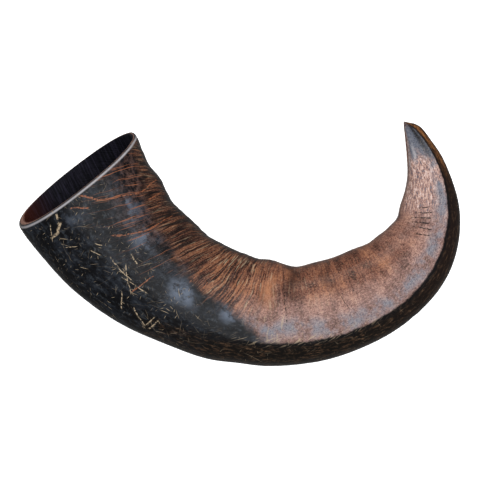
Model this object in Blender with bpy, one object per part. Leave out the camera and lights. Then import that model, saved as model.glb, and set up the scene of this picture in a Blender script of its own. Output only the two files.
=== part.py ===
"""The horn of a water buffalo, sawn off at the skull, with its bony core gone.

It is one hollow sheath, lying on its flank: the mouth faces -X, the belly swings round through -Y
and the tip curls back over +Y. Every ring of the skin is the same outline, drawn on a plane that
follows the centre line, so the horn is a short list of sizes and a few formulas along its length.

Places along the horn are a share of its centre line, 0 at the mouth and 1 at the tip. Angles round
it are in degrees: 0 is inside the curve, 90 on top, 180 at the belly and 270 underneath.
"""

import math
from typing import NamedTuple

import bmesh
import bpy
from mathutils import Vector

# The centre line, in metres and degrees.
HORN_LENGTH = 0.3737
START_HEADING = -14.4  # the horn leaves the saw cut leaning this far towards -Y
EVEN_TURN = 139.5  # how far the whole horn turns before the curl is added
CURL_TURN = 175.8  # the extra rate of turning where the curl is tightest
CURL_PLACE, CURL_SPREAD = 0.769, 0.161
LINE_STEPS = 1000

# The cross-section.
MOUTH_HALF_WIDTH = 0.050
WIDTH_TAPER = 0.608
TIP_FULLNESS, TIP_SHARPNESS = 9.385, 0.86
DEPTH_SHARE_AT_MOUTH = 0.68  # the horn is flattened: this is its depth over its width
DEPTH_SHARE_AT_TIP = 0.80
SQUARENESS = 2.25  # 2 is an ellipse
RIDGES = (  # angle, height as a share of the radius, spread in degrees
    (133.0, 0.075, 24.0),
    (226.0, 0.050, 28.0),
)
RIDGES_START, RIDGES_FULL = 0.08, 0.50
SWELLINGS = (  # place along, angle, height in metres, spread along, spread round in degrees
    (0.060, 0.0, -0.0009, 0.020, 50.0),
    (0.090, 0.0, 0.0012, 0.022, 60.0),
    (0.150, 0.0, -0.0010, 0.022, 50.0),
    (0.280, 0.0, -0.0010, 0.026, 50.0),
    (0.340, 0.0, -0.0012, 0.070, 60.0),
    (0.405, 0.0, -0.0010, 0.022, 45.0),
    (0.497, 0.0, -0.0030, 0.034, 55.0),
    (0.640, 0.0, 0.0026, 0.060, 60.0),
    (0.728, 0.0, 0.0011, 0.026, 50.0),
    (0.800, 0.0, -0.0017, 0.022, 50.0),
    (0.890, 0.0, -0.0014, 0.055, 50.0),
    (0.000, 180.0, 0.0015, 0.045, 60.0),
    (0.290, 180.0, -0.0020, 0.060, 60.0),
    (0.402, 180.0, -0.0011, 0.030, 60.0),
    (0.735, 180.0, 0.0013, 0.055, 60.0),
    (0.880, 180.0, -0.0010, 0.035, 60.0),
    (0.988, 180.0, 0.0034, 0.032, 60.0),
)
SWOLLEN_FROM = 0.003  # the swellings die away where the horn's half width is under this

# How it lies: the saw cut leans back a little, and the tip is clear of the ground.
MOUTH_TILT = 17.5
SAW_REACH = 0.25  # the rings turn from the saw cut to square over this share of the length
TIP_LIFT, LIFT_START = 0.010, 0.72

# The hollow that the bony core left, and its wall at the mouth.
HOLLOW_END = 0.62
HOLLOW_BLUNTNESS = 3.0
WALL_ON_TOP, WALL_INSIDE, WALL_AT_BELLY = 0.0034, 0.0036, 0.0052
WALL_GAIN = 0.009  # what the wall gains by the hollow's end
RIM_CHAMFER = 0.0009

# How finely it is drawn.
SEGMENTS = 48
SKIN_RINGS, HOLLOW_RINGS = 56, 24
RING_CROWDING = 1.6  # above 1, rings crowd towards the tip and the hollow's end

HORN_COLOUR = (0.085, 0.042, 0.028, 1.0)
HORN_ROUGHNESS = 0.4


class Station(NamedTuple):
    """A place on the centre line."""

    along: float
    centre: Vector
    heading: float


def smooth(low, high, value):
    """0 below low, 1 above high, and an easy curve between them."""
    share = min(max((value - low) / (high - low), 0.0), 1.0)
    return share * share * (3 - 2 * share)


def bell(distance, spread):
    """A rounded rise, 1 at its middle."""
    return math.exp(-((distance / spread) ** 2))


def angle_between(first, second):
    """The shorter way round between two angles, in degrees."""
    return abs((first - second + 180.0) % 360.0 - 180.0)


def half_width(along):
    """Half the horn's width, in the plane that it curves in."""
    blunting = max(1 - along**TIP_FULLNESS, 0.0) ** TIP_SHARPNESS
    return MOUTH_HALF_WIDTH * (1 - WIDTH_TAPER * along) * blunting


def half_depth(along):
    """Half the horn's depth, square to the plane that it curves in."""
    share = DEPTH_SHARE_AT_MOUTH + (DEPTH_SHARE_AT_TIP - DEPTH_SHARE_AT_MOUTH) * along
    return half_width(along) * share


def centre_height(along):
    """The centre line lies half a depth above the ground, and rises at the tip."""
    return half_depth(along) + TIP_LIFT * smooth(LIFT_START, 1.0, along)


def centre_line():
    """The stations of the centre line, close together, from the mouth to the tip."""
    step = 1 / LINE_STEPS
    x, y, heading = 0.0, 0.0, START_HEADING
    line = [Station(0.0, Vector((x, y, centre_height(0.0))), heading)]
    for number in range(1, LINE_STEPS + 1):
        middle = (number - 0.5) * step
        turn = step * (EVEN_TURN + CURL_TURN * bell(middle - CURL_PLACE, CURL_SPREAD))
        travel = math.radians(heading + turn / 2)
        x += HORN_LENGTH * step * math.cos(travel)
        y += HORN_LENGTH * step * math.sin(travel)
        heading += turn
        along = number * step
        line.append(Station(along, Vector((x, y, centre_height(along))), heading))
    return line


def section_axes(station):
    """A ring's own directions, towards the inside of the curve and up.

    They start in the plane of the saw cut and turn to stand square to the centre line.
    """
    square = smooth(0.0, SAW_REACH, station.along)
    turned = math.radians(station.heading * square)
    tilt = math.radians(MOUTH_TILT * (1 - square))
    inward = Vector((-math.sin(turned), math.cos(turned), 0.0))
    along = Vector((math.cos(turned), math.sin(turned), 0.0))
    forward = along * math.cos(tilt) - Vector((0.0, 0.0, math.sin(tilt)))
    return inward, forward.cross(inward)


def outline(along, angle):
    """How far the skin stands from the centre line, as a share of the half width and half depth."""
    cosine = abs(math.cos(math.radians(angle)))
    sine = abs(math.sin(math.radians(angle)))
    reach = (cosine**SQUARENESS + sine**SQUARENESS) ** (-1 / SQUARENESS)
    grown = smooth(RIDGES_START, RIDGES_FULL, along)
    for middle, height, spread in RIDGES:
        reach *= 1 + height * grown * bell(angle_between(angle, middle), spread)
    return reach


def swelling(along, angle):
    """The height of the low waves that the horn grew with, which die away where it is thin."""
    height = sum(
        rise * bell(along - place, spread_along) * bell(angle_between(angle, middle), spread_round)
        for place, middle, rise, spread_along, spread_round in SWELLINGS
    )
    return height * min(1.0, half_width(along) / SWOLLEN_FROM)


def ring(station, angles, inset):
    """A ring of points round the centre line, a stated distance inside the skin at each angle."""
    inward, up = section_axes(station)
    points = []
    for angle in angles:
        turned = math.radians(angle)
        reach = outline(station.along, angle)
        shift = swelling(station.along, angle) - inset(angle)
        across = (half_width(station.along) * reach + shift) * math.cos(turned)
        above = (half_depth(station.along) * reach + shift) * math.sin(turned)
        points.append(station.centre + inward * across + up * above)
    return points


def wall(angle):
    """The wall's thickness at the mouth, thickest at the belly."""
    cosine = math.cos(math.radians(angle))
    side = WALL_INSIDE if cosine > 0 else WALL_AT_BELLY
    return WALL_ON_TOP + (side - WALL_ON_TOP) * cosine * cosine


def hollow_ring(station, angles):
    """A ring of the hollow's wall, which draws in to a blunt end inside the horn."""
    depth = station.along / HOLLOW_END
    points = ring(station, angles, lambda angle: wall(angle) + WALL_GAIN * depth)
    closing = math.sqrt(max(1 - depth**HOLLOW_BLUNTNESS, 0.0))
    return [station.centre.lerp(point, closing) for point in points]


def crowded(count):
    """Even steps from 0 to 1, drawn closer together towards 1."""
    return [1 - (1 - number / count) ** RING_CROWDING for number in range(count + 1)]


def rings():
    """Every ring: down the skin from the tip, over the sawn rim and into the hollow to its end."""
    line = centre_line()
    angles = [360.0 * number / SEGMENTS for number in range(SEGMENTS)]

    def station(along):
        return line[round(along * LINE_STEPS)]

    mouth = line[0]
    skin = [ring(station(share), angles, lambda angle: 0.0) for share in crowded(SKIN_RINGS)[1:]]
    chamfered = station(RIM_CHAMFER / HORN_LENGTH)
    rim = [
        ring(chamfered, angles, lambda angle: 0.0),
        ring(mouth, angles, lambda angle: RIM_CHAMFER),
        ring(mouth, angles, lambda angle: wall(angle) - RIM_CHAMFER),
        ring(chamfered, angles, wall),
    ]
    hollow = [hollow_ring(station(HOLLOW_END * share), angles) for share in crowded(HOLLOW_RINGS)[1:]]
    return skin[::-1] + rim + hollow


def horn_mesh():
    """Wraps a flat grid round the rings: its columns are the angles and its rows the rings."""
    rows = rings()
    mesh = bmesh.new()
    bmesh.ops.create_grid(mesh, x_segments=SEGMENTS, y_segments=len(rows) - 1, size=0.5)
    for vert in mesh.verts:
        column = round((vert.co.x + 0.5) * SEGMENTS) % SEGMENTS
        row = round((vert.co.y + 0.5) * (len(rows) - 1))
        vert.co = rows[row][column]
    bmesh.ops.remove_doubles(mesh, verts=mesh.verts, dist=1e-6)
    bmesh.ops.recalc_face_normals(mesh, faces=mesh.faces)
    low = Vector([min(vert.co[axis] for vert in mesh.verts) for axis in range(3)])
    high = Vector([max(vert.co[axis] for vert in mesh.verts) for axis in range(3)])
    middle = (low + high) / 2
    bmesh.ops.translate(mesh, vec=(-middle.x, -middle.y, -low.z), verts=mesh.verts)
    return mesh


def horn_material():
    """Dark polished horn."""
    material = bpy.data.materials.new("horn")
    material.use_nodes = True
    shader = material.node_tree.nodes["Principled BSDF"]
    shader.inputs["Base Color"].default_value = HORN_COLOUR
    shader.inputs["Roughness"].default_value = HORN_ROUGHNESS
    shader.inputs["Metallic"].default_value = 0.0
    return material


def main():
    """Builds the horn in a collection of its own."""
    for obj in list(bpy.data.objects):
        bpy.data.objects.remove(obj, do_unlink=True)
    collection = bpy.data.collections.new("buffalo_horn")
    bpy.context.scene.collection.children.link(collection)
    data = bpy.data.meshes.new("horn")
    mesh = horn_mesh()
    mesh.to_mesh(data)
    mesh.free()
    data.shade_smooth()
    data.materials.append(horn_material())
    collection.objects.link(bpy.data.objects.new("horn", data))


if __name__ == "__main__":
    main()
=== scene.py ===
"""Dresses one polished water buffalo horn, sawn off at the skull and lying on its flank.

The horn is a single hollow sheath. Its finished skin follows the same centre line and outline as
the solid it stands for, and adds what grew or was worn into it: growth wrinkles on the inside of
the curl, low waves, the sharp ridge beside the belly, the facets at the tip, the cuts of old scars
and the rounded, sawn rim.

Places along the horn are a share of its centre line, 0 at the mouth and 1 at the tip. Angles round
it are in degrees: 0 is inside the curve, 90 on top, 180 at the belly and 270 underneath.
"""

import logging
import math
from dataclasses import dataclass, field
from enum import Enum
from typing import Any, Sequence, Union

import bmesh
import bpy
import numpy as np
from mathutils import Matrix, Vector, noise


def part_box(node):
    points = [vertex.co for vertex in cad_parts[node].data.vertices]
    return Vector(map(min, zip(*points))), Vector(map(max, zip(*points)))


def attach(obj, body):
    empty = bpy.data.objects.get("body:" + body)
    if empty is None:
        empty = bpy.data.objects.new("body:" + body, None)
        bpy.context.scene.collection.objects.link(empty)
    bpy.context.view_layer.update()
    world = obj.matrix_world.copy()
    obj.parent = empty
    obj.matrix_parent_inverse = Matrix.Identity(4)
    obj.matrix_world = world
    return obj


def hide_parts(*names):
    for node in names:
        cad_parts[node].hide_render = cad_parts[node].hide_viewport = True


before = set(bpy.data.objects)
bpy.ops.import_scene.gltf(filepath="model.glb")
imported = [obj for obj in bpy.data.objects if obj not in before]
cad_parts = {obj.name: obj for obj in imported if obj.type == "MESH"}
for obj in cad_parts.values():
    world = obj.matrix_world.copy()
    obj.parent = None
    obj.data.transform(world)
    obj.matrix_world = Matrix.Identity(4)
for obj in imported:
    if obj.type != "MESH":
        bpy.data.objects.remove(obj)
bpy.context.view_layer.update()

LOG = logging.getLogger("horn")
Array = np.ndarray
Colour = tuple[float, float, float, float]
Number = Union[float, "Signal"]

MM = 0.001
WHITE = (1.0, 1.0, 1.0, 1.0)
NODE = "horn"
BODY = "root"


def shade(red: int, green: int, blue: int) -> Colour:
    """Turns a colour on the usual 0 to 255 scale into the renderer's linear values.

    Args:
        red: Red, 0 to 255.
        green: Green, 0 to 255.
        blue: Blue, 0 to 255.

    Returns:
        The colour with full opacity.
    """

    def linear(level: int) -> float:
        """One channel, without its display curve."""
        share = level / 255
        return share / 12.92 if share <= 0.04045 else ((share + 0.055) / 1.055) ** 2.4

    return (linear(red), linear(green), linear(blue), 1.0)


def smooth(low: float, high: float, value: Array) -> Array:
    """An easy step from 0 below low to 1 above high."""
    share = np.clip((value - low) / (high - low), 0.0, 1.0)
    return share * share * (3 - 2 * share)


def bell(distance: Array, spread: float) -> Array:
    """A rounded rise, 1 at its middle."""
    return np.exp(-((distance / spread) ** 2))


def angle_between(first: Array, second: float) -> Array:
    """The shorter way round between two angles, in degrees."""
    return np.abs((first - second + 180.0) % 360.0 - 180.0)


@dataclass(frozen=True)
class Swelling:
    """A low wave that the horn grew with.

    Attributes:
        along: Where it is, as a share of the length.
        angle: Where it is round the horn, in degrees.
        rise: Its height in metres, negative for a hollow.
        length: How far it spreads along, as a share of the length.
        girth: How far it spreads round, in degrees.
    """

    along: float
    angle: float
    rise: float
    length: float
    girth: float


@dataclass(frozen=True)
class HornForm:
    """The horn's curve and outline, in metres and degrees, as the solid has them."""

    length: float = 0.3737
    start_heading: float = -14.4
    even_turn: float = 139.5
    curl_turn: float = 175.8
    curl_place: float = 0.769
    curl_spread: float = 0.161
    line_steps: int = 1000
    mouth_half_width: float = 0.050
    width_taper: float = 0.608
    tip_fullness: float = 9.385
    tip_sharpness: float = 0.86
    depth_at_mouth: float = 0.68
    depth_at_tip: float = 0.80
    squareness: float = 2.25
    # each ridge's angle, its height as a share of the reach there, and its spread in degrees
    ridges: tuple[tuple[float, float, float], ...] = ((133.0, 0.075, 24.0), (226.0, 0.050, 28.0))
    ridges_start: float = 0.08
    ridges_full: float = 0.50
    swollen_from: float = 0.003
    mouth_tilt: float = 17.5
    saw_reach: float = 0.25
    tip_lift: float = 0.010
    lift_start: float = 0.72
    swellings: tuple[Swelling, ...] = (
        Swelling(0.060, 0.0, -0.0009, 0.020, 50.0),
        Swelling(0.090, 0.0, 0.0012, 0.022, 60.0),
        Swelling(0.150, 0.0, -0.0010, 0.022, 50.0),
        Swelling(0.280, 0.0, -0.0010, 0.026, 50.0),
        Swelling(0.340, 0.0, -0.0012, 0.070, 60.0),
        Swelling(0.405, 0.0, -0.0010, 0.022, 45.0),
        Swelling(0.497, 0.0, -0.0030, 0.034, 55.0),
        Swelling(0.640, 0.0, 0.0026, 0.060, 60.0),
        Swelling(0.728, 0.0, 0.0011, 0.026, 50.0),
        Swelling(0.800, 0.0, -0.0017, 0.022, 50.0),
        Swelling(0.890, 0.0, -0.0014, 0.055, 50.0),
        Swelling(0.000, 180.0, 0.0015, 0.045, 60.0),
        Swelling(0.290, 180.0, -0.0020, 0.060, 60.0),
        Swelling(0.402, 180.0, -0.0011, 0.030, 60.0),
        Swelling(0.735, 180.0, 0.0013, 0.055, 60.0),
        Swelling(0.880, 180.0, -0.0010, 0.035, 60.0),
        Swelling(0.988, 180.0, 0.0034, 0.032, 60.0),
    )

    def half_width(self, along: Array) -> Array:
        """Half the width in the plane that the horn curves in."""
        blunting = np.maximum(1 - along**self.tip_fullness, 0.0) ** self.tip_sharpness
        return self.mouth_half_width * (1 - self.width_taper * along) * blunting

    def half_depth(self, along: Array) -> Array:
        """Half the depth, square to the plane that the horn curves in."""
        gain = self.depth_at_tip - self.depth_at_mouth
        return self.half_width(along) * (self.depth_at_mouth + gain * along)

    def heading(self, along: Array) -> Array:
        """The way the centre line points, in degrees."""
        return np.interp(along, *self._turns())

    def _turns(self) -> tuple[Array, Array]:
        """The heading at each step of the centre line.

        Returns:
            The steps' places along, and the headings there.
        """
        step = 1 / self.line_steps
        middles = (np.arange(self.line_steps) + 0.5) * step
        curl = self.curl_turn * bell(middles - self.curl_place, self.curl_spread)
        turns = step * (self.even_turn + curl)
        headings = self.start_heading + np.concatenate([[0.0], np.cumsum(turns)])
        return np.arange(self.line_steps + 1) * step, headings

    def centre(self, along: Array) -> Array:
        """The centre line.

        Args:
            along: Places along, in any shape.

        Returns:
            Points, with a last axis of three.
        """
        steps, headings = self._turns()
        travel = np.radians((headings[:-1] + headings[1:]) / 2)
        stride = self.length / self.line_steps
        x = np.concatenate([[0.0], np.cumsum(stride * np.cos(travel))])
        y = np.concatenate([[0.0], np.cumsum(stride * np.sin(travel))])
        height = self.half_depth(along) + self.tip_lift * smooth(self.lift_start, 1.0, along)
        return np.stack([np.interp(along, steps, x), np.interp(along, steps, y), height], axis=-1)

    def axes(self, along: Array) -> tuple[Array, Array]:
        """The directions of the rings' planes, which turn from the saw cut to square.

        Args:
            along: Places along, in any shape.

        Returns:
            Unit vectors towards the inside of the curve, and up.
        """
        square = smooth(0.0, self.saw_reach, along)
        turned = np.radians(self.heading(along) * square)
        tilt = np.radians(self.mouth_tilt * (1 - square))
        level = np.zeros_like(turned)
        inward = np.stack([-np.sin(turned), np.cos(turned), level], axis=-1)
        lean = np.sin(tilt)
        up = np.stack([np.cos(turned) * lean, np.sin(turned) * lean, np.cos(tilt)], axis=-1)
        return inward, up

    def outline(self, along: Array, angle: Array) -> Array:
        """How far the skin stands from the centre line, as a share of its half width and depth."""
        cosine = np.abs(np.cos(np.radians(angle)))
        sine = np.abs(np.sin(np.radians(angle)))
        reach = (cosine**self.squareness + sine**self.squareness) ** (-1 / self.squareness)
        grown = smooth(self.ridges_start, self.ridges_full, along)
        for middle, height, spread in self.ridges:
            reach = reach * (1 + height * grown * bell(angle_between(angle, middle), spread))
        return reach

    def swelling(self, along: Array, angle: Array) -> Array:
        """The height of the low waves, which die away where the horn is thin."""
        height = np.zeros(np.broadcast(along, angle).shape)
        for wave in self.swellings:
            spread = bell(along - wave.along, wave.length)
            spread = spread * bell(angle_between(angle, wave.angle), wave.girth)
            height += wave.rise * spread
        return height * np.minimum(1.0, self.half_width(along) / self.swollen_from)

    def section(self, along: Array, angle: Array, inset: Array) -> tuple[Array, Array]:
        """Where the surface is within its ring's plane.

        Args:
            along: Places along.
            angle: Angles round.
            inset: How far inside the plain skin, in metres.

        Returns:
            Distances from the centre line towards the inside of the curve, and up.
        """
        reach = self.outline(along, angle)
        shift = self.swelling(along, angle) - inset
        turned = np.radians(angle)
        across = (self.half_width(along) * reach + shift) * np.cos(turned)
        above = (self.half_depth(along) * reach + shift) * np.sin(turned)
        return across, above

    def points(self, along: Array, across: Array, above: Array) -> Array:
        """Places in rings' planes as points in space."""
        inward, up = self.axes(along)
        return self.centre(along) + inward * across[..., None] + up * above[..., None]


class ScarKind(Enum):
    """What a mark on the skin shows."""

    CREAM = "bare horn under the polish"
    RUST = "orange growth line"
    DARK = "dirt in a crack"


@dataclass(frozen=True)
class Scar:
    """One straight mark on the skin.

    Attributes:
        start: Its first end, as a share of the length and an angle round.
        end: Its other end.
        width: Its width in millimetres.
    """

    start: tuple[float, float]
    end: tuple[float, float]
    width: float

    def on_skin(self, form: HornForm) -> tuple[list[Vector], float]:
        """Lays the mark out on the unrolled skin.

        Args:
            form: The horn's form.

        Returns:
            Its two ends in metres, along and round from the top, and the metres to a degree there.
        """
        middle = np.array([(self.start[0] + self.end[0]) / 2])
        girth = float(form.half_width(middle)[0] + form.half_depth(middle)[0]) / 2
        per_degree = girth * math.radians(1.0)
        ends = [
            Vector((along * form.length, (turn - 90.0) * per_degree, 0.0))
            for along, turn in (self.start, self.end)
        ]
        return ends, per_degree


SCARS: dict[ScarKind, tuple[Scar, ...]] = {
    ScarKind.CREAM: (
        Scar((0.027, 118.0), (0.040, 125.0), 2.4),
        Scar((0.040, 124.0), (0.043, 133.0), 2.8),
        Scar((0.010, 118.0), (0.026, 120.0), 1.6),
        Scar((0.020, 127.0), (0.052, 134.0), 0.9),
        Scar((0.100, 105.0), (0.120, 99.0), 0.8),
        Scar((0.105, 111.0), (0.128, 108.0), 0.7),
        Scar((0.085, 118.0), (0.074, 127.0), 0.8),
        Scar((0.138, 103.0), (0.204, 107.0), 0.8),
        Scar((0.170, 98.0), (0.214, 118.0), 0.7),
        Scar((0.198, 120.0), (0.216, 136.0), 0.9),
        Scar((0.228, 126.0), (0.257, 140.0), 1.2),
        Scar((0.262, 143.0), (0.272, 124.0), 1.2),
        Scar((0.256, 138.0), (0.264, 125.0), 0.9),
        Scar((0.180, 109.0), (0.236, 108.0), 0.6),
        Scar((0.165, 89.0), (0.190, 93.0), 1.2),
    ),
    ScarKind.RUST: (
        Scar((0.108, 91.0), (0.150, 66.0), 1.3),
        Scar((0.114, 89.0), (0.158, 60.0), 1.1),
        Scar((0.150, 66.0), (0.172, 34.0), 1.4),
        Scar((0.006, 95.0), (0.040, 80.0), 1.5),
        Scar((0.038, 81.0), (0.078, 50.0), 1.1),
        Scar((0.078, 50.0), (0.084, 20.0), 1.2),
        Scar((0.014, 106.0), (0.036, 92.0), 1.3),
        Scar((0.312, 84.0), (0.328, 61.0), 1.0),
        Scar((0.328, 61.0), (0.352, 30.0), 1.1),
        Scar((0.287, 82.0), (0.304, 56.0), 0.9),
        Scar((0.210, 116.0), (0.226, 92.0), 1.1),
        Scar((0.100, 48.0), (0.112, 24.0), 1.6),
    ),
    ScarKind.DARK: (
        Scar((0.777, 74.0), (0.783, 98.0), 1.1),
        Scar((0.788, 64.0), (0.794, 98.0), 1.2),
        Scar((0.798, 58.0), (0.804, 96.0), 1.3),
        Scar((0.808, 56.0), (0.814, 96.0), 1.3),
        Scar((0.818, 60.0), (0.824, 94.0), 1.2),
        Scar((0.828, 62.0), (0.834, 88.0), 1.1),
        Scar((0.578, 76.0), (0.586, 96.0), 0.7),
        Scar((0.466, 32.0), (0.474, 104.0), 1.0),
    ),
}


@dataclass(frozen=True)
class Relief:
    """What grew or was worn into the skin, as depths in metres below the plain form."""

    wave_depth: float = 0.55 * MM
    wave_size: float = 0.026
    wave_girth: float = 0.0364
    wrinkle_depth: float = 0.42 * MM
    wrinkle_size: float = 0.0052
    wrinkle_girth: float = 0.05
    wrinkle_lean: float = 0.00039  # metres along for each degree round, towards the mouth
    lean_fades: tuple[float, float] = (0.20, 0.50)
    wrinkles_end: tuple[float, float] = (0.34, 0.56)
    wrinkles_inside: tuple[float, float] = (58.0, 100.0)
    ring_depth: float = 0.10 * MM
    ring_size: float = 0.0028
    ring_girth: float = 0.03
    crease_angle: float = 121.0
    crease_depth: float = 0.75 * MM
    crease_spread: float = 13.0
    crease_reach: float = 32.5
    crease_start: tuple[float, float] = (0.22, 0.46)
    facets: tuple[tuple[float, float], ...] = ((23.0, 17.0), (77.0, 22.0))  # angle and spread
    facet_depth: float = 0.9 * MM
    facet_start: tuple[float, float] = (0.885, 0.95)
    pit_depth: float = 0.16 * MM
    pit_size: float = 0.0045
    pit_edge: tuple[float, float] = (0.15, 0.6)
    pit_aside: float = 0.5
    tip_rounding: float = 0.0022
    tip_rounds: tuple[float, float] = (0.972, 1.0)
    rounded_from: float = 0.003  # the half width below which the rounding fades
    marked_from: float = 0.006  # and the one below which all the rest fades
    cut_share: float = 0.22  # a scar's depth over its width
    cut_edge: float = 0.0007

    def lean(self, along: Array, inside: Array) -> Array:
        """How far the growth lines lean towards the mouth, in metres."""
        return self.wrinkle_lean * inside * (1 - smooth(*self.lean_fades, along))

    def depth(self, form: HornForm, along: Array, angle: Array) -> Array:
        """The relief's depth below the plain skin.

        Args:
            form: The horn's form.
            along: Places along, one for each row.
            angle: Angles round, one for each column.

        Returns:
            Depths in metres, rows by columns.
        """
        across, above = form.section(along, angle, np.zeros_like(angle))
        inside = angle_between(angle, 0.0)
        leaned = along * form.length + self.lean(along, inside)
        waves = self._field(leaned, across, above, self.wave_size, self.wave_girth)
        wrinkles = self._field(leaned, across, above, self.wrinkle_size, self.wrinkle_girth)
        rings = self._field(leaned, across, above, self.ring_size, self.ring_girth)
        pits = self._field(leaned + self.pit_aside, across, above, self.pit_size, self.pit_size)
        wrinkled = 1 - smooth(*self.wrinkles_end, along)
        wrinkled = wrinkled * (1 - smooth(*self.wrinkles_inside, inside))
        crease = 1 - np.exp(-np.abs(inside - self.crease_angle) / self.crease_spread)
        creased = smooth(*self.crease_start, along)
        creased = creased * bell(inside - self.crease_angle, self.crease_reach)
        facet = sum(bell(inside - middle, spread) for middle, spread in self.facets)
        depth = self.wave_depth * (0.5 + waves)
        depth += self.wrinkle_depth * (0.5 + wrinkles) * wrinkled
        depth += self.ring_depth * (0.5 + rings) + self.pit_depth * smooth(*self.pit_edge, pits)
        depth += self.crease_depth * crease * creased
        depth += self.facet_depth * facet * smooth(*self.facet_start, along)
        depth += self._cut(form, along, angle)
        half_width = form.half_width(along)
        belly_side = np.maximum(-np.cos(np.radians(angle)), 0.0)
        rounded = self.tip_rounding * smooth(*self.tip_rounds, along) * belly_side
        rounded = rounded * np.minimum(1.0, half_width / self.rounded_from)
        return depth * np.minimum(1.0, half_width / self.marked_from) + rounded

    def _cut(self, form: HornForm, along: Array, angle: Array) -> Array:
        """The depth that the scars are cut to."""
        deepest = np.zeros(along.shape)
        round_top = (angle - 90.0 + 180.0) % 360.0 - 180.0
        for scar in (scar for marks in SCARS.values() for scar in marks):
            ends, per_degree = scar.on_skin(form)
            way = (ends[1] - ends[0]).normalized()
            across = along * form.length - (ends[0].x + ends[1].x) / 2
            upward = round_top * per_degree - (ends[0].y + ends[1].y) / 2
            lengthwise = np.abs(across * way.x + upward * way.y)
            sideways = np.abs(upward * way.x - across * way.y)
            reach, half = (ends[1] - ends[0]).length / 2, scar.width * MM / 2 + self.cut_edge
            cut = smooth(half, 0.0, sideways) * smooth(reach + half, reach * 0.7, lengthwise)
            deepest = np.maximum(deepest, cut * scar.width)
        return deepest * self.cut_share * MM

    @staticmethod
    def _field(
        leaned: Array, across: Array, above: Array, size_along: float, size_round: float
    ) -> Array:
        """Smooth noise over the straightened horn, from about -0.5 to 0.5."""
        scaled = (leaned / size_along, across / size_round, above / size_round)
        values = [noise.noise(Vector(place)) for place in zip(*(axis.ravel() for axis in scaled))]
        return np.array(values).reshape(leaned.shape)


@dataclass(frozen=True)
class Mouth:
    """The sawn rim and the hollow behind it, in metres."""

    hollow_end: float = 0.62
    bluntness: float = 3.0
    wall_on_top: float = 0.0034
    wall_inside: float = 0.0036
    wall_at_belly: float = 0.0052
    wall_gain: float = 0.009
    lip_depth: float = 0.0026
    lip_width: float = 0.0016
    inner_round: float = 0.0007

    def wall(self, angle: Array) -> Array:
        """The wall's thickness at the mouth, thickest at the belly."""
        cosine = np.cos(np.radians(angle))
        side = np.where(cosine > 0, self.wall_inside, self.wall_at_belly)
        return self.wall_on_top + (side - self.wall_on_top) * cosine**2


class Region(Enum):
    """The parts of the sheath's surface, as the material tells them apart."""

    SKIN = 0.0
    RIM = 0.5
    HOLLOW = 1.0


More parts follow.
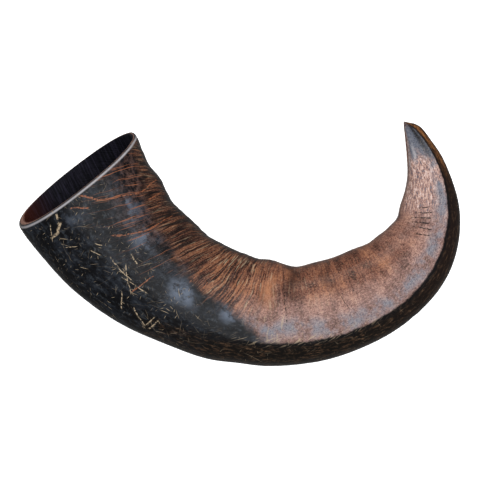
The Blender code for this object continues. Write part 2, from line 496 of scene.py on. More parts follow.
@dataclass
class HornSheath:
    """The whole sheath, as one closed mesh from the tip over the rim to the end of the hollow."""

    form: HornForm = field(default_factory=HornForm)
    relief: Relief = field(default_factory=Relief)
    mouth: Mouth = field(default_factory=Mouth)
    columns: int = 224
    skin_rows: int = 356
    rim_rows: int = 6
    hollow_rows: int = 52
    crowded_at_tip: float = 1.12
    crowded_in_hollow: float = 1.5
    first_angle: float = 270.0

    def rows(self) -> tuple[Array, Array, Array, Array]:
        """Lays out the sheath as rows of places, from the tip down the skin and into the hollow.

        Returns:
            Places along, insets in metres, how much each ring is drawn to the centre line, and the
            region's number, each rows by columns but for the last two, which are one for each row.
        """
        mouth, length = self.mouth, self.form.length
        angles = self.angles()
        start, rounded = mouth.lip_depth / length, mouth.inner_round / length
        skin = 1 - (1 - start) * np.linspace(0.0, 1.0, self.skin_rows) ** self.crowded_at_tip
        lip = np.radians(np.linspace(0.0, 90.0, self.rim_rows + 1))[1:]
        bowl = np.radians(np.linspace(0.0, 90.0, self.rim_rows))
        wall = mouth.wall(angles)
        table: list[tuple[float, Array, float, Region]] = []
        still = np.zeros_like(angles)
        table += [(along, still, 1.0, Region.SKIN) for along in skin]
        for turn in lip:
            along = start * (1 - math.sin(turn))
            table.append((along, still + mouth.lip_width * (1 - math.cos(turn)), 1.0, Region.SKIN))
        for turn in bowl:
            along = mouth.inner_round * (1 - math.cos(turn)) / length
            table.append((along, wall - mouth.inner_round * (1 - math.sin(turn)), 1.0, Region.RIM))
        steps = np.linspace(0.0, 1.0, self.hollow_rows + 1)[1:]
        for share in 1 - (1 - steps) ** self.crowded_in_hollow:
            along = rounded + (mouth.hollow_end - rounded) * share
            closing = math.sqrt(max(1 - share**mouth.bluntness, 0.0))
            table.append((along, wall + mouth.wall_gain * share, closing, Region.HOLLOW))
        alongs, insets, closings, regions = zip(*table)
        return (
            np.array(alongs)[:, None] + still,
            np.array(insets),
            np.array(closings)[:, None],
            np.array([region.value for region in regions])[:, None] + still,
        )

    def angles(self) -> Array:
        """The angle of each column, so that the seam is underneath."""
        return self.first_angle + 360.0 * np.arange(self.columns) / self.columns

    def build(self) -> bpy.types.Object:
        """Makes the sheath's mesh where the solid is.

        Returns:
            The finished object, which rides on the body and replaces the solid.
        """
        along, inset, closing, region = self.rows()
        angle = np.broadcast_to(self.angles(), along.shape)
        skin = region < Region.HOLLOW.value
        plain = self.form.points(along, *self.form.section(along, angle, inset))
        worn = inset + np.where(skin, self.relief.depth(self.form, along, angle), 0.0)
        across, above = self.form.section(along, angle, worn)
        points = self.form.points(along, across * closing, above * closing)
        points += self._to_box(plain)
        points[..., 2] = np.maximum(points[..., 2], 0.0)
        turned = np.radians(angle)
        grown = np.stack([along * self.form.length, across * closing, above * closing], axis=-1)
        turns = np.stack([along, np.cos(turned), np.sin(turned)], axis=-1)
        piece = self._wrap(points, {"grown": grown, "turned": turns}, region)
        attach(piece, BODY)
        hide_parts(NODE)
        return piece

    @staticmethod
    def _to_box(plain: Array) -> Array:
        """The move that puts the plain form where the solid's box is."""
        low, high = (np.array(corner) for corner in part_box(NODE))
        own_low, own_high = plain.min(axis=(0, 1)), plain.max(axis=(0, 1))
        move = (low + high) / 2 - (own_low + own_high) / 2
        move[2] = low[2] - own_low[2]
        return move

    def _wrap(self, points: Array, vectors: dict[str, Array], region: Array) -> bpy.types.Object:
        """Wraps a flat grid round the rings and closes its seam and its two ends.

        Args:
            points: Points, rows by columns.
            vectors: Vectors to keep on the vertices, by the name of their attribute.
            region: The region's number, rows by columns.

        Returns:
            The object, smooth and with its faces outward.
        """
        rows = len(points)
        mesh = bmesh.new()
        bmesh.ops.create_grid(mesh, x_segments=self.columns, y_segments=rows - 1, size=0.5)
        layers = {name: mesh.verts.layers.float_vector.new(name) for name in vectors}
        part = mesh.verts.layers.float.new("region")
        for vert in mesh.verts:
            column = round((vert.co.x + 0.5) * self.columns) % self.columns
            row = round((vert.co.y + 0.5) * (rows - 1))
            vert.co = points[row, column]
            vert[part] = region[row, column]
            for name, layer in layers.items():
                vert[layer] = vectors[name][row, column]
        bmesh.ops.remove_doubles(mesh, verts=mesh.verts, dist=1e-6)
        bmesh.ops.recalc_face_normals(mesh, faces=mesh.faces)
        data = bpy.data.meshes.new("buffalo_horn_sheath")
        mesh.to_mesh(data)
        mesh.free()
        data.shade_smooth()
        piece = bpy.data.objects.new("buffalo_horn_sheath", data)
        bpy.context.scene.collection.objects.link(piece)
        return piece


class Signal:
    """A value in a material, on which Python's operators stand for Math nodes."""

    def __init__(self, graph: "Graph", socket: bpy.types.NodeSocket) -> None:
        """Holds a node's output socket."""
        self.graph = graph
        self.socket = socket

    def __add__(self, other: Number) -> "Signal":
        """This plus other."""
        return self.graph.maths("ADD", self, other)

    def __sub__(self, other: Number) -> "Signal":
        """This less other."""
        return self.graph.maths("SUBTRACT", self, other)

    def __rsub__(self, other: Number) -> "Signal":
        """Other less this."""
        return self.graph.maths("SUBTRACT", other, self)

    def __mul__(self, other: Number) -> "Signal":
        """This times other."""
        return self.graph.maths("MULTIPLY", self, other)

    def __abs__(self) -> "Signal":
        """This without its sign."""
        return self.graph.maths("ABSOLUTE", self)

    def at_least(self, other: Number) -> "Signal":
        """The larger of this and other."""
        return self.graph.maths("MAXIMUM", self, other)

    def at_most(self, other: Number) -> "Signal":
        """The smaller of this and other."""
        return self.graph.maths("MINIMUM", self, other)

    def ease(self, low: float, high: float) -> "Signal":
        """An easy step from 0 at low to 1 at high; it falls where high is the lower one."""
        ends = {"From Min": low, "From Max": high, "To Min": 0.0, "To Max": 1.0}
        if high < low:
            ends = {"From Min": high, "From Max": low, "To Min": 1.0, "To Max": 0.0}
        settings = {"interpolation_type": "SMOOTHSTEP"}
        made = self.graph.node("MapRange", settings, {"Value": self, **ends})
        return Signal(self.graph, made.outputs["Result"])

    def rise(self, middle: float, reach: float) -> "Signal":
        """1 at the middle, easing to 0 at the reach on both sides."""
        return abs(self - middle).ease(reach, 0.0)

    def mix(self, under: Any, over: Any) -> "Signal":
        """Lays one colour over another, by this share."""
        made = self.graph.node("Mix", {"data_type": "RGBA"}, {0: self, 6: under, 7: over})
        return Signal(self.graph, made.outputs[2])

    def cloud(self, detail: float, roughness: float = 0.55) -> "Signal":
        """Noise from 0 to 1, at this place, which is already scaled."""
        inputs = {"Vector": self, "Scale": 1.0, "Detail": detail, "Roughness": roughness}
        return Signal(self.graph, self.graph.node("TexNoise", {}, inputs).outputs[0])

    def ramp(self, stops: Sequence[tuple[float, Colour]]) -> "Signal":
        """Looks a colour up by this value, from 0 to 1."""
        made = self.graph.node("ValToRGB", {"stops": stops}, {0: self})
        return Signal(self.graph, made.outputs[0])

    def level(self, stops: Sequence[tuple[float, float]]) -> "Signal":
        """Looks a number from 0 to 1 up by this value."""
        return self.ramp([(place, (grey, grey, grey, 1.0)) for place, grey in stops]) * 1.0


class Graph:
    """A material's nodes."""

    def __init__(self, name: str) -> None:
        """Starts a material that has no nodes yet."""
        self.material = bpy.data.materials.new(name)
        self.material.use_nodes = True
        self.tree = self.material.node_tree
        self.tree.nodes.clear()

    def node(self, kind: str, settings: dict[str, Any], inputs: dict[Any, Any]) -> bpy.types.Node:
        """Adds any node.

        Args:
            kind: The node's type, without its ShaderNode prefix.
            settings: Its settings; "stops" are a ramp's places and colours.
            inputs: Values or signals, by the socket's name or number.

        Returns:
            The node.
        """
        made = self.tree.nodes.new("ShaderNode" + kind)
        for name, value in settings.items():
            if name == "stops":
                self._set_stops(made.color_ramp, value)
            else:
                setattr(made, name, value)
        for key, value in inputs.items():
            if isinstance(value, Signal):
                self.tree.links.new(value.socket, made.inputs[key])
            else:
                made.inputs[key].default_value = value
        return made

    @staticmethod
    def _set_stops(ramp: bpy.types.ColorRamp, stops: Sequence[tuple[float, Colour]]) -> None:
        """Gives a ramp its stops."""
        while len(ramp.elements) < len(stops):
            ramp.elements.new(1.0)
        for element, (place, colour) in zip(ramp.elements, stops):
            element.position = place
            element.color = colour

    def maths(self, operation: str, *values: Number) -> Signal:
        """A Math node on numbers or signals."""
        made = self.node("Math", {"operation": operation}, dict(enumerate(values)))
        return Signal(self, made.outputs[0])

    def vector(self, operation: str, *values: Any) -> Signal:
        """A Vector Math node whose result is a vector."""
        made = self.node("VectorMath", {"operation": operation}, dict(enumerate(values)))
        return Signal(self, made.outputs["Vector"])

    def measure(self, operation: str, *values: Any) -> Signal:
        """A Vector Math node whose result is a number."""
        made = self.node("VectorMath", {"operation": operation}, dict(enumerate(values)))
        return Signal(self, made.outputs["Value"])

    def joined(self, x: Number, y: Number, z: Number) -> Signal:
        """Three numbers as a vector."""
        return Signal(self, self.node("CombineXYZ", {}, {0: x, 1: y, 2: z}).outputs[0])

    def shaded(self, inputs: dict[str, Any]) -> bpy.types.Material:
        """Ends the material with a Principled shader that has these inputs."""
        shader = self.node("BsdfPrincipled", {}, inputs)
        surface = self.node("OutputMaterial", {}, {})
        self.tree.links.new(shader.outputs[0], surface.inputs["Surface"])
        return self.material


class Places:
    """Where a point of the surface is on the horn, as signals.

    The soft places wander by smooth noise, so that what is drawn by them has no straight edge.
    """

    metres_per_degree: float = 0.0006
    hair_slope: float = 0.5
    growth_wander: float = 0.005
    drift_along: float = 0.10
    drift_round: float = 34.0

    def __init__(self, graph: Graph, form: HornForm, relief: Relief) -> None:
        """Reads the sheath's own attributes.

        Args:
            graph: The material's nodes.
            form: The horn's form.
            relief: The relief, whose lean the growth lines share.
        """
        self.graph = graph
        self.grown = self._attribute("grown", "Vector")
        turned = graph.node("SeparateXYZ", {}, {0: self._attribute("turned", "Vector")})
        self.region = self._attribute("region", "Fac")
        self.along = Signal(graph, turned.outputs[0])
        self.cosine = Signal(graph, turned.outputs[1])
        self.sine = Signal(graph, turned.outputs[2])
        kept = self.cosine.at_least(-1.0).at_most(1.0)
        self.inside = graph.maths("ARCCOSINE", kept) * math.degrees(1.0)
        self.around = graph.maths("ARCTAN2", self.cosine * -1.0, self.sine) * math.degrees(1.0)
        split = graph.node("SeparateXYZ", {}, {0: self.grown})
        across, above = (Signal(graph, split.outputs[number]) for number in (1, 2))
        fading = self.along.ease(relief.lean_fades[1], relief.lean_fades[0])
        self.run = self.along * form.length
        leaned = self.run + self.inside * fading * relief.wrinkle_lean
        wander = self.stretched(0.022, 0.022).cloud(2.0)
        self.growth = graph.joined(leaned + wander * self.growth_wander, across, above)
        drift = self.stretched(0.034, 0.030).cloud(4.0, 0.6) - 0.5
        sideways = self.stretched(0.026, 0.034, 3.0).cloud(4.0, 0.6) - 0.5
        self.soft_along = self.along + drift * self.drift_along
        self.soft_inside = self.inside + sideways * self.drift_round

    def _attribute(self, name: str, output: str) -> Signal:
        """One of the sheath's attributes."""
        made = self.graph.node("Attribute", {"attribute_name": name}, {})
        return Signal(self.graph, made.outputs[output])

    def stretched(self, size_along: float, size_round: float, aside: float = 0.0) -> Signal:
        """The straightened horn, scaled so that features have these sizes in metres."""
        return self._scaled(self.grown, size_along, size_round, aside)

    def leaning(self, size_along: float, size_round: float, aside: float = 0.0) -> Signal:
        """The same, following the lean of the growth lines."""
        return self._scaled(self.growth, size_along, size_round, aside)

    def _scaled(self, place: Signal, size_along: float, size_round: float, aside: float) -> Signal:
        """A place divided by sizes and moved aside, so that patterns differ."""
        scale = (1 / size_along, 1 / size_round, 1 / size_round)
        return self.graph.vector("MULTIPLY_ADD", place, scale, (aside, aside, aside))

    def slanting(self, width: float, length: float, aside: float) -> Signal:
        """The top and sides laid flat, scaled for fine hairs that slant up to the tip."""
        arc = self.around * self.metres_per_degree
        across = (arc + self.run * self.hair_slope) * (1 / width)
        lengthwise = (self.run - arc * self.hair_slope) * (1 / length)
        return self.graph.joined(across, lengthwise, aside)


@dataclass(frozen=True)
class Patch:
    """A patch of colour: its middle and its reach, along and in degrees, and its strength."""

    along: float
    angle: float
    reach_along: float
    reach_round: float
    strength: float


@dataclass(frozen=True)
class ScratchLayer:
    """Random scratches, at most one to a cell.

    Attributes:
        cell: The cells' size in metres, which is also the longest scratch.
        width: The scratches' width in metres.
        kept: The chance, drawn for each cell, from which its scratch is gone; lower ones show more.
        aside: Moves the pattern, so that layers differ.
    """

    cell: float
    width: float
    kept: float
    aside: float


@dataclass(frozen=True)
class Palette:
    """The horn's own colours, with the greys and blues that also paint its sheen and highlights."""

    ink: Colour = shade(11, 11, 14)
    charcoal: Colour = shade(31, 34, 40)
    steel: Colour = shade(58, 62, 67)
    slate_and_sheen: Colour = shade(86, 93, 105)
    blue_grey_and_sheen: Colour = shade(105, 112, 123)
    # polish is the light grey of the painted highlights on the lip and tip, and of the pale inner
    # edge at the tip.
    polish: Colour = shade(160, 157, 160)
    umber: Colour = shade(42, 27, 23)
    rust: Colour = shade(112, 74, 60)
    orange: Colour = shade(152, 106, 78)
    thread: Colour = shade(142, 92, 66)
    rose: Colour = shade(176, 146, 134)
    dusk: Colour = shade(96, 72, 64)
    pale_rose: Colour = shade(202, 182, 177)
    plum: Colour = shade(140, 110, 103)
    bark: Colour = shade(20, 16, 13)
    bark_light: Colour = shade(86, 66, 50)
    amber: Colour = shade(134, 92, 56)
    cream: Colour = shade(170, 152, 128)
    sawn: Colour = shade(146, 112, 98)
    sawn_dark: Colour = shade(84, 54, 44)
    hollow: Colour = shade(15, 15, 22)
    hollow_light: Colour = shade(40, 38, 50)
    hollow_red: Colour = shade(70, 32, 22)


# Grey patches on the dark base: partly the horn's own grey and partly a painted sheen.
GREY_AND_SHEEN_PATCHES = (
    Patch(0.070, 66.0, 0.060, 17.0, 0.75),
    Patch(0.165, 72.0, 0.070, 17.0, 0.95),
    Patch(0.285, 92.0, 0.042, 17.0, 1.30),
    Patch(0.375, 96.0, 0.034, 14.0, 1.15),
    Patch(0.030, 108.0, 0.040, 14.0, 0.35),
)


BLACK_PATCHES = (
    Patch(0.050, 84.0, 0.045, 9.0, 1.00),
    Patch(0.125, 92.0, 0.050, 12.0, 1.20),
    Patch(0.215, 99.0, 0.042, 12.0, 1.20),
    Patch(0.330, 110.0, 0.060, 9.0, 1.20),
    Patch(0.225, 70.0, 0.026, 8.0, 0.90),
)


@dataclass(frozen=True)
class HornFinish:
    """Polished horn: dark at the base, rust and rose on the flank and brown at the belly."""

    form: HornForm = field(default_factory=HornForm)
    relief: Relief = field(default_factory=Relief)
    palette: Palette = field(default_factory=Palette)
    flank_edge: tuple[float, float] = (118.0, 121.0)
    # places along, and the angle from the inside where the dark base begins, as a share of 180
    dark_reach: tuple[tuple[float, float], ...] = (
        (0.00, 0.20),
        (0.10, 0.25),
        (0.20, 0.31),
        (0.28, 0.41),
        (0.36, 0.50),
        (0.43, 0.63),
        (0.50, 0.74),
        (1.00, 0.74),
    )
    fine_scratches: tuple[ScratchLayer, ...] = (
        ScratchLayer(0.0030, 0.00022, 0.60, 0.0),
        ScratchLayer(0.0070, 0.00022, 0.75, 5.3),
        ScratchLayer(0.0180, 0.00026, 0.80, 9.1),
    )
    scar_wobble: float = 0.0026
    scar_wobble_round: float = 4.5
    ior: float = 1.20
    coat_weight: float = 0.10
    coat_roughness: float = 0.18
    bump_height: float = 0.0004

    def dress(self, piece: bpy.types.Object) -> None:
        """Gives the sheath its material.

        Args:
            piece: The sheath, with the attributes that its builder kept on it.
        """
        graph = Graph("polished_horn")
        places = Places(graph, self.form, self.relief)
        scars = {kind: self._scars(places, kind) for kind in ScarKind}
        scratches = self._scratches(places) * self._worn(places)
        lines = self._growth_lines(places)
        skin = scratches.mix(self._skin_colour(places, lines), self.palette.cream)
        skin = (scars[ScarKind.RUST] * 0.85).mix(skin, self.palette.thread)
        skin = (scars[ScarKind.DARK] * 0.95).mix(skin, self.palette.ink)
        skin = (scars[ScarKind.CREAM] * 0.88).mix(skin, self.palette.cream)
        on_rim = places.region.ease(0.02, 0.08)
        in_hollow = (places.region - places.inside.ease(140.0, 172.0) * 0.22).ease(0.20, 0.34)
        colour = on_rim.mix(skin, self._rim_colour(places))
        colour = in_hollow.mix(colour, self._hollow_colour(places))
        marks = scars[ScarKind.CREAM].at_least(scratches)
        height = self._height(places, lines, scratches)
        inputs = {"Strength": 1.0, "Distance": self.bump_height, "Height": height}
        bump = graph.node("Bump", {}, inputs)
        inputs = {
            "Base Color": colour,
            "Roughness": self._roughness(places, marks) + in_hollow * 0.25,
            "Normal": Signal(graph, bump.outputs[0]),
            "Coat Weight": (1.0 - in_hollow) * self.coat_weight,
            "Coat Roughness": self.coat_roughness,
            "IOR": self.ior,
        }
        piece.data.materials.append(graph.shaded(inputs))

    def _scars(self, places: Places, kind: ScarKind) -> Signal:
        """Where the scars of one kind are, from 0 to 1."""
        wobble = places.stretched(0.009, 0.009).cloud(2.0) - 0.5
        wobble_round = places.stretched(0.010, 0.010, 4.0).cloud(2.0) - 0.5
        along = places.run + wobble * self.scar_wobble
        around = places.around + wobble_round * self.scar_wobble_round
        spot = places.graph.joined(along, around, 0.0)
        broken = places.stretched(0.0016, 0.0016).cloud(3.0, 0.65).ease(0.38, 0.55)
        found: Union[Signal, None] = None
        for scar in SCARS[kind]:
            mark = self._scar(spot, scar)
            found = mark if found is None else found.at_least(mark)
        return found * broken

    def _scar(self, spot: Signal, scar: Scar) -> Signal:
        """One scar, from 0 to 1."""
        graph = spot.graph
        ends, per_degree = scar.on_skin(self.form)
        line = ends[1] - ends[0]
        centre = (ends[0] + ends[1]) / 2
        way = line.normalized()
        offset = graph.vector("MULTIPLY_ADD", spot, (1.0, per_degree, 0.0), tuple(-centre))
        lengthwise = abs(graph.measure("DOT_PRODUCT", offset, tuple(way)))
        sideways = abs(graph.measure("DOT_PRODUCT", offset, (-way.y, way.x, 0.0)))
        half, reach = scar.width * MM / 2, line.length / 2
        return sideways.ease(half, half * 0.3) * lengthwise.ease(reach + half, reach * 0.75)

    def _scratches(self, places: Places) -> Signal:
        """Fine scratches in random directions, from 0 to 1."""
        graph = places.graph
        outward = graph.joined(0.0, places.cosine, places.sine)
        inputs = {"Vector": places.stretched(0.006, 0.006), "Scale": 1.0, "Detail": 1.0}
        bent = Signal(graph, graph.node("TexNoise", {}, inputs).outputs["Color"])
        bend = graph.vector("SUBTRACT", bent, (0.5, 0.5, 0.5))
        found: Union[Signal, None] = None
        for layer in self.fine_scratches:
            spot = places.stretched(layer.cell, layer.cell, layer.aside)
            spot = graph.vector("MULTIPLY_ADD", bend, (0.16, 0.16, 0.16), spot)
            cells = graph.node("TexVoronoi", {"feature": "F1"}, {"Vector": spot, "Scale": 1.0})
            chance = Signal(graph, cells.outputs["Color"])
            local = graph.vector("SUBTRACT", spot, Signal(graph, cells.outputs["Position"]))
            across = graph.vector("MULTIPLY_ADD", chance, (2.0, 2.0, 2.0), (-1.0, -1.0, -1.0))
            flat = graph.vector("CROSS_PRODUCT", across, outward)
            away = abs(graph.measure("DOT_PRODUCT", local, graph.vector("NORMALIZE", flat)))
            width = layer.width / layer.cell
            line = away.ease(width, width * 0.3) * graph.measure("LENGTH", local).ease(0.55, 0.20)
            luck = Signal(graph, graph.node("SeparateXYZ", {}, {0: chance}).outputs[2])
            line = line * luck.ease(layer.kept, layer.kept * 0.2)
            found = line if found is None else found.at_least(line)
        return found

    @staticmethod
    def _worn(places: Places) -> Signal:
        """How strongly fine scratches show: most on the dark base, a little on the belly."""
        base = places.soft_along.ease(0.36, 0.26) * places.soft_inside.ease(66.0, 96.0)
        belly = places.inside.ease(110.0, 118.0) * places.soft_along.ease(0.80, 0.50) * 0.30
        clumps = places.stretched(0.014, 0.014, 7.0).cloud(3.0).ease(0.44, 0.60)
        return base.at_least(belly) * (clumps * 0.8 + 0.2) + 0.04

    @staticmethod
    def _growth_lines(places: Places) -> Signal:
        """The thin lines that run round the horn, from 0 to 1."""
        thin = places.leaning(0.0009, 0.018).cloud(3.0, 0.65)
        broad = places.leaning(0.0040, 0.040, 2.0).cloud(2.0)
        return (thin * 0.82 + broad * 0.18).ease(0.40, 0.62)

    def _grain(self, places: Places, colour: Signal) -> Signal:
        """Adds the fine dark pits, pale flecks and pale hairs of the flank."""
        fine = places.stretched(0.0011, 0.0009, 2.0).cloud(4.0, 0.8)
        colour = (fine.ease(0.50, 0.36) * 0.65).mix(colour, self.palette.umber)
        colour = (fine.ease(0.54, 0.66) * 0.32).mix(colour, self.palette.cream)
        hairs = places.leaning(0.0011, 0.012, 13.0).cloud(2.0, 0.5).ease(0.60, 0.68)
        hairs = hairs * places.along.ease(0.62, 0.40)
        return (hairs * 0.50).mix(colour, self.palette.cream)

    def _skin_colour(self, places: Places, lines: Signal) -> Signal:
        """The skin without its scratches."""
        colours = self.palette
        grain = places.stretched(0.0015, 0.0011).cloud(5.0, 0.75)
        mottle = places.leaning(0.011, 0.016).cloud(5.0, 0.65)
        ringed = places.along.ease(0.50, 0.34) * 0.20 + 0.06
        warm = (grain * 0.42 + mottle * (0.50 - ringed) + lines * ringed + 0.04).ramp(
            ((0.39, colours.umber), (0.50, colours.rust), (0.62, colours.orange))
        )
        rose = (grain * 0.55 + mottle * 0.45).ramp(
            ((0.40, colours.dusk), (0.50, colours.plum), (0.60, colours.rose))
        )
        warm = (places.soft_along.ease(0.44, 0.28) * 0.40).mix(warm, colours.umber)
        # The pinkish haze on the top of the flank is partly the horn's own tone and partly a
        # painted sheen.
        rose_haze_and_sheen = places.soft_inside.ease(52.0, 98.0) * places.soft_along.ease(0.36, 0.46)
        tip_haze = places.soft_along.ease(0.62, 0.80) * 0.45
        flank = (rose_haze_and_sheen * 0.85).at_least(tip_haze).mix(warm, rose)
        lengthwise = places.stretched(0.011, 0.0010).cloud(4.0, 0.7)
        stops = zip(
            (0.40, 0.47, 0.52, 0.60), (colours.slate_and_sheen, colours.plum, colours.rose, colours.pale_rose)
        )
        pale = (lengthwise * 0.7 + grain * 0.3).ramp(tuple(stops))
        near_tip = places.soft_along.ease(0.79, 0.86) * places.soft_inside.ease(14.0, 30.0)
        flank = (near_tip * 0.9).mix(flank, pale)
        flank = self._grain(places, self._painted_sheen_and_shade(places, flank, mottle))
        flank = self._dark_base(places, flank, lines)
        flank = self._belly(places, flank, lengthwise)
        # Painted highlight: a light grey band on the top of the rounded lip by the mouth.
        painted_lip_highlight = places.along.rise(0.0030, 0.0032) * places.sine.ease(-0.2, 0.3)
        return (painted_lip_highlight * (mottle * 0.8 + 0.45)).mix(flank, colours.polish)

    def _painted_sheen_and_shade(self, places: Places, flank: Signal, mottle: Signal) -> Signal:
        """Paints a blue-grey sheen beside the ridge and on the tip's facet, partly over the horn's
        own blue-grey, with a painted highlight and a painted shadow at the tip.
        """
        patchy = mottle.ease(0.38, 0.58)
        # Painted sheen: patchy blue-grey beside the ridge, over some of the horn's own blue-grey.
        beside = places.soft_inside.rise(108.0, 20.0) * places.along.ease(0.33, 0.42)
        # Painted reflection: the tip's facet is turned blue-grey where it would mirror the light.
        facet = places.soft_along.ease(0.905, 0.930) * places.inside.ease(36.0, 50.0)
        flank = (beside * (patchy * 0.75 + 0.05)).mix(flank, self.palette.blue_grey_and_sheen)
        flank = (facet * 0.95).mix(flank, self.palette.slate_and_sheen)
        inner = places.along.ease(0.90, 0.93) * places.inside.rise(30.0, 16.0)
        flank = (inner * 0.7).mix(flank, self.palette.polish)
        # Painted highlight: a pale streak down the tip's facet.
        glint = places.soft_inside.rise(62.0, 11.0) * places.along.rise(0.935, 0.034)
        flank = (glint * 0.6).mix(flank, self.palette.polish)
        # Painted shadow: a near-black band on the tip beside the ridge, where the surface turns
        # away from the light.
        shadow = places.along.ease(0.90, 0.96) * places.soft_inside.rise(108.0, 18.0)
        flank = (shadow * 0.85).mix(flank, self.palette.ink)
        return (places.along.ease(0.982, 0.996) * 0.6).mix(flank, self.palette.dusk)

    def _dark_base(self, places: Places, flank: Signal, lines: Signal) -> Signal:
        """Lays the near-black base over the flank, with grey patches that are partly painted sheen,
        its orange lines and painted shade along the inside edge.
        """
        colours = self.palette
        cloudy = places.stretched(0.015, 0.012, 4.0).cloud(5.0, 0.68)
        dark = cloudy.ease(0.44, 0.62).mix(colours.ink, colours.charcoal)
        rough = places.stretched(0.0045, 0.0030, 9.0).cloud(5.0, 0.75)
        dark = (rough.ease(0.52, 0.64) * 0.65).mix(dark, colours.steel)
        browned = places.soft_inside.ease(84.0, 50.0) * rough.ease(0.42, 0.58)
        dark = (browned * 0.55).mix(dark, colours.dusk)
        dark = (rough.ease(0.48, 0.40) * 0.85).mix(dark, colours.ink)
        # How much of each grey patch shows, as a patchy painted sheen.
        sheen = cloudy.ease(0.42, 0.56) * 0.85 + 0.15
        dark = self._patched(places, dark, GREY_AND_SHEEN_PATCHES, sheen, colours.slate_and_sheen)
        dark = self._patched(places, dark, BLACK_PATCHES, rough.ease(0.66, 0.50), colours.ink)
        threads = places.leaning(0.0012, 0.036, 6.0).cloud(3.0, 0.6).ease(0.57, 0.67)
        threads = threads * places.soft_inside.ease(108.0, 62.0)
        dark = (threads * 0.9).mix(dark, colours.thread)
        beyond = places.soft_inside - places.along.level(self.dark_reach) * 180.0
        covered = beyond.ease(-7.0, 7.0)
        gaps = places.leaning(0.006, 0.030, 11.0).cloud(3.0, 0.6).ease(0.50, 0.62)
        gaps = gaps * places.soft_along.ease(0.30, 0.18)
        between = beyond.ease(-42.0, -4.0) * lines.ease(0.62, 0.25)
        between = (between * places.along.ease(0.36, 0.22) * 0.45).at_least(gaps * 0.85)
        flank = between.mix(flank, colours.ink)
        bands = places.soft_along.rise(0.482, 0.022) + places.soft_along.rise(0.562, 0.014) * 0.6
        flank = (bands * places.soft_inside.ease(84.0, 50.0) * 0.7).mix(flank, colours.umber)
        glow = places.soft_along.rise(0.440, 0.026) * places.soft_inside.rise(66.0, 26.0)
        flank = (glow * 0.6).mix(flank, colours.orange)
        flank = covered.mix(flank, dark)
        # Painted shade: a dark band along the inside edge, where the side falls away from the
        # light.
        edge = places.inside.ease(32.0, 10.0) * (places.along.ease(0.56, 0.34) * 0.6 + 0.3)
        return edge.mix(flank, colours.ink)

    @staticmethod
    def _patched(
        places: Places, under: Signal, patches: Sequence[Patch], shown: Signal, colour: Colour
    ) -> Signal:
        """Lays patches of one colour over another.

        Args:
            places: Where each point of the skin is.
            under: The colour they are laid over.
            patches: The patches.
            shown: How much of a patch shows, from 0 to 1.
            colour: Their colour.

        Returns:
            The patched colour.
        """
        for patch in patches:
            here = places.soft_along.rise(patch.along, patch.reach_along)
            here = here * (places.around + 90.0).rise(patch.angle, patch.reach_round) * shown
            under = (here * patch.strength).at_most(1.0).mix(under, colour)
        return under

    def _belly(self, places: Places, flank: Signal, lengthwise: Signal) -> Signal:
        """Lays the dark belly over the flank, past the sharp ridge."""
        colours = self.palette
        wander = (places.stretched(0.006, 0.006, 8.0).cloud(4.0, 0.65) - 0.5) * 6.0
        slanted = places.slanting(0.0011, 0.009, 15.0).cloud(2.0, 0.5)
        hairs = slanted.ease(0.57, 0.65) * places.inside.rise(118.0, 9.0)
        hairs = hairs * places.soft_along.rise(0.50, 0.22)
        past = (places.inside + wander).ease(*self.flank_edge)
        past = past * places.soft_along.ease(0.20, 0.40)
        brown = places.stretched(0.004, 0.0014, 1.0).cloud(5.0, 0.75)
        clumps = places.stretched(0.020, 0.010, 3.0).cloud(3.0, 0.6).ease(0.38, 0.62)
        streaks = brown.ease(0.49, 0.64) * (clumps * 0.5 + 0.5)
        bark = streaks.mix(colours.bark, colours.bark_light)
        amber = places.along.ease(0.86, 0.94) * lengthwise.ease(0.30, 0.58)
        amber = amber * places.inside.rise(140.0, 24.0)
        bark = (places.soft_along.ease(0.55, 0.80) * (0.4 - streaks * 0.4)).mix(bark, colours.umber)
        bark = (amber * (brown.ease(0.42, 0.58) * 0.7 + 0.3)).mix(bark, colours.amber)
        seam = (places.inside + wander).rise(121.5, 6.0)
        bark = (seam * 0.85).mix(bark, colours.ink)
        return (hairs * 0.55).mix(past.mix(flank, bark), colours.cream)

    def _rim_colour(self, places: Places) -> Signal:
        """The sawn rim: bare pinkish horn, with fine brown rings."""
        rings = places.stretched(0.002, 0.0009, 3.0).cloud(3.0).ease(0.35, 0.65)
        return (rings * 0.7).mix(self.palette.sawn, self.palette.sawn_dark)

    def _hollow_colour(self, places: Places) -> Signal:
        """The inside: dark, finely lined from end to end, and reddish by the belly."""
        colours = self.palette
        lined = places.stretched(0.040, 0.0012, 2.0).cloud(4.0, 0.65)
        inside = lined.ease(0.44, 0.66).mix(colours.hollow, colours.hollow_light)
        red = places.inside.ease(112.0, 172.0) * places.along.ease(0.16, 0.02)
        return (red * 0.9).mix(inside, colours.hollow_red)

    @staticmethod
    def _roughness(places: Places, marks: Signal) -> Signal:
        """Polished all over but in the marks and on the belly."""
        varied = places.stretched(0.007, 0.007, 5.0).cloud(4.0, 0.6)
        return varied * 0.30 + 0.24 + marks * 0.25 + places.inside.ease(117.0, 124.0) * 0.14

    @staticmethod
    def _height(places: Places, lines: Signal, scratches: Signal) -> Signal:
        """The finest relief: growth lines, grain and scratches. The mesh has the scars' cuts."""
        fine = places.stretched(0.0012, 0.0010).cloud(3.0, 0.65)
        wrinkled = places.inside.ease(110.0, 60.0) * places.along.ease(0.55, 0.35) * 0.55 + 0.10
        return fine * 0.22 + lines * wrinkled - scratches * 0.45


@dataclass(frozen=True)
class Softbox:
    """A soft light that faces the horn.

    Attributes:
        name: Its name.
        place: Right, up and height, as the picture has them, in metres.
        sides: Its two sides in metres.
        power: Its power in watts.
        colour: Its colour.
    """

    name: str
    place: tuple[float, float, float]
    sides: tuple[float, float]
    power: float
    colour: tuple[float, float, float]


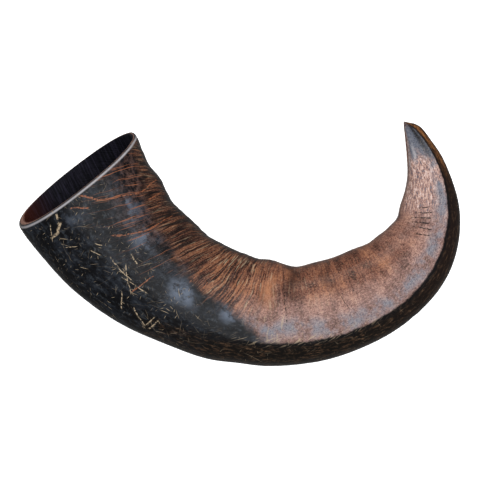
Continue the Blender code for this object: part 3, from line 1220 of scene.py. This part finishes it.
@dataclass(frozen=True)
class Studio:
    """The pale floor, the soft lights and the camera, which looks straight down."""

    turn: float = 51.92  # how far the camera is turned about its own axis, in degrees
    height: float = 1.3811
    aim: tuple[float, float] = (-0.0020, -0.0165)  # from the middle of the horn's box
    lens: float = 150.0
    floor_side: float = 8.0
    floor_colour: Colour = (0.86, 0.86, 0.86, 1.0)
    floor_glow: float = 0.5  # whitens the floor, so that its shadows fade
    sky: float = 0.40
    lights: tuple[Softbox, ...] = (
        Softbox("overhead", (0.25, -0.20, 1.75), (1.4, 1.4), 26.0, (0.94, 0.97, 1.0)),
        Softbox("far", (-0.20, 1.40, 1.20), (1.4, 0.8), 16.0, (1.0, 0.98, 0.95)),
    )

    def build(self) -> None:
        """Makes everything that isn't the horn."""
        bpy.context.scene.view_settings.view_transform = "Standard"
        bpy.context.scene.view_settings.look = "Medium High Contrast"
        self._floor()
        self._sky()
        self._camera()
        for light in self.lights:
            self._light(light)

    @staticmethod
    def _middle() -> Vector:
        """The middle of the horn's box, on the floor."""
        low, high = (Vector(corner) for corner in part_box(NODE))
        return Vector(((low.x + high.x) / 2, (low.y + high.y) / 2, 0.0))

    def _across_picture(self, right: float, up: float, height: float) -> Vector:
        """A place given by the picture's own right and up, from the middle of the horn."""
        turn = math.radians(self.turn)
        x = right * math.cos(turn) - up * math.sin(turn)
        y = right * math.sin(turn) + up * math.cos(turn)
        return self._middle() + Vector((x, y, height))

    def _camera(self) -> None:
        """A long lens straight over the horn."""
        data = bpy.data.cameras.new("camera")
        data.lens = self.lens
        camera = bpy.data.objects.new("camera", data)
        camera.location = self._middle() + Vector((*self.aim, self.height))
        camera.rotation_euler = (0.0, 0.0, math.radians(self.turn))
        bpy.context.scene.collection.objects.link(camera)
        bpy.context.scene.camera = camera

    def _light(self, softbox: Softbox) -> None:
        """Hangs an area light that faces the horn."""
        data = bpy.data.lights.new(softbox.name, "AREA")
        data.shape = "RECTANGLE"
        data.size, data.size_y = softbox.sides
        data.energy = softbox.power
        data.color = softbox.colour
        light = bpy.data.objects.new(softbox.name, data)
        light.location = self._across_picture(*softbox.place)
        light.rotation_euler = (self._middle() - light.location).to_track_quat("-Z", "Y").to_euler()
        bpy.context.scene.collection.objects.link(light)

    def _floor(self) -> None:
        """A plain pale floor."""
        mesh = bmesh.new()
        bmesh.ops.create_grid(mesh, x_segments=1, y_segments=1, size=self.floor_side / 2)
        data = bpy.data.meshes.new("floor")
        mesh.to_mesh(data)
        mesh.free()
        inputs = {
            "Base Color": self.floor_colour,
            "Roughness": 1.0,
            "Specular IOR Level": 0.0,
            "Emission Color": WHITE,
            "Emission Strength": self.floor_glow,
        }
        data.materials.append(Graph("pale_floor").shaded(inputs))
        floor = bpy.data.objects.new("floor", data)
        floor.visible_diffuse = False
        floor.visible_glossy = False
        bpy.context.scene.collection.objects.link(floor)

    def _sky(self) -> None:
        """An even white surround."""
        world = bpy.data.worlds.new("surround")
        world.use_nodes = True
        background = world.node_tree.nodes["Background"]
        background.inputs["Color"].default_value = WHITE
        background.inputs["Strength"].default_value = self.sky
        bpy.context.scene.world = world


def main() -> None:
    """Builds the studio and the horn."""
    logging.basicConfig(level=logging.INFO, format="%(name)s: %(message)s")
    Studio().build()
    LOG.info("studio ready")
    sheath = HornSheath()
    piece = sheath.build()
    HornFinish(sheath.form, sheath.relief).dress(piece)
    LOG.info("%s: %d faces", piece.name, len(piece.data.polygons))


if __name__ == "__main__":
    main()
